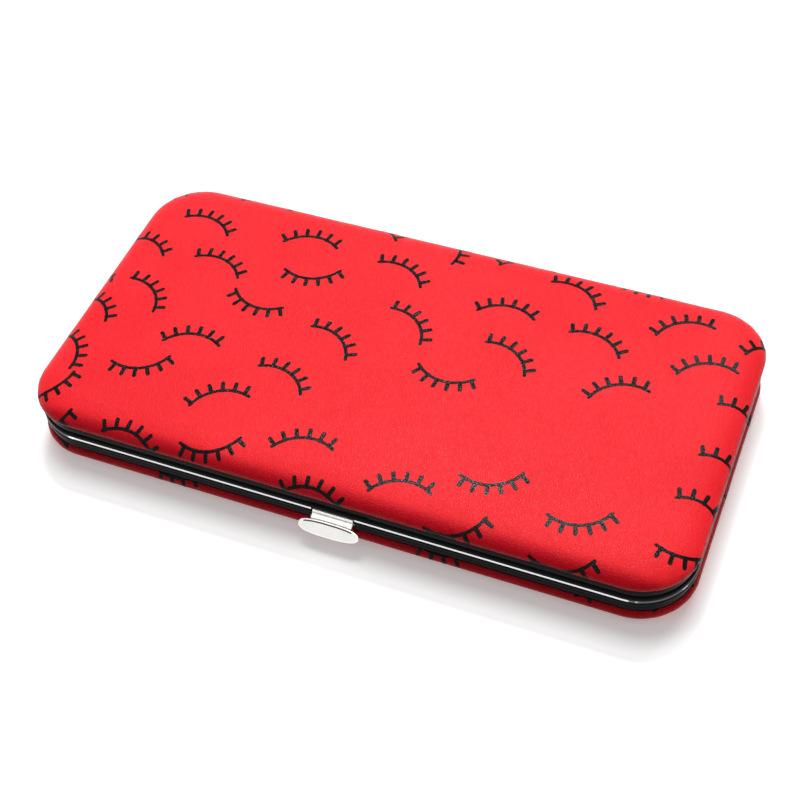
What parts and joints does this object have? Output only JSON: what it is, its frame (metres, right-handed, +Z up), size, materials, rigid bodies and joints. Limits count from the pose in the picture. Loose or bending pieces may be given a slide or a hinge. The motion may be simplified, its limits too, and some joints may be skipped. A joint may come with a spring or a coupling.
{
  "type": "tweezer case",
  "caption": "Slim clamshell case for tweezers: padded leatherette covers in a metal frame, hinged lid, sprung push tab, lined trays.",
  "frame": {"origin": "middle of the flat underside that the case rests on, below the middle of its frame", "axes": "+X to the right along the long side, -Y towards the push tab at the front, +Z up through the lid"},
  "size_m": [0.1808, 0.0995, 0.019],
  "materials": {
    "leatherette": "fine-grained red imitation leather with a soft sheen and a glossy black print",
    "enamel": "gloss black enamel on sheet metal",
    "foam": "thin closed-cell foam",
    "board": "stiff moulded board",
    "lining": "short black velvet pile on a moulded tray",
    "magnet": "flexible magnet strip",
    "nickel": "polished nickel plate",
    "steel": "plain bright steel"
  },
  "bodies": {
    "base": {"base_cover": "leatherette", "base_frame": "enamel", "base_padding": "foam", "base_shell": "board", "base_tray": "lining", "magnet_strip_left": "magnet", "magnet_strip_right": "magnet", "base_hinge_leaf_left": "nickel", "base_hinge_leaf_right": "nickel", "hinge_pin_left": "steel", "hinge_pin_right": "steel", "latch_bracket": "steel", "bracket_rivet_left": "nickel", "bracket_rivet_right": "nickel", "latch_pin": "steel"},
    "lid": {"lid_cover": "leatherette", "lid_frame": "enamel", "lid_padding": "foam", "lid_shell": "board", "lid_tray": "lining", "lid_hinge_leaf_left": "nickel", "lid_hinge_leaf_right": "nickel", "lid_catch": "steel", "catch_rivet_left": "nickel", "catch_rivet_right": "nickel"},
    "latch": {"latch_tab": "nickel", "latch_spring": "steel"}
  },
  "joints": [
    {"name": "lid_hinge", "type": "hinge", "parent": "base", "child": "lid", "pos_m": [0, 0.04765, 0.0095], "axis": [-1, 0, 0], "range_deg": [0, 180]},
    {"name": "latch_turn", "type": "hinge", "parent": "base", "child": "latch", "pos_m": [0, -0.04405, 0.00585], "axis": [1, 0, 0], "range_deg": [0, 14], "stiffness_Nm_per_rad": 0.002, "springref_deg": -2.86}
  ]
}
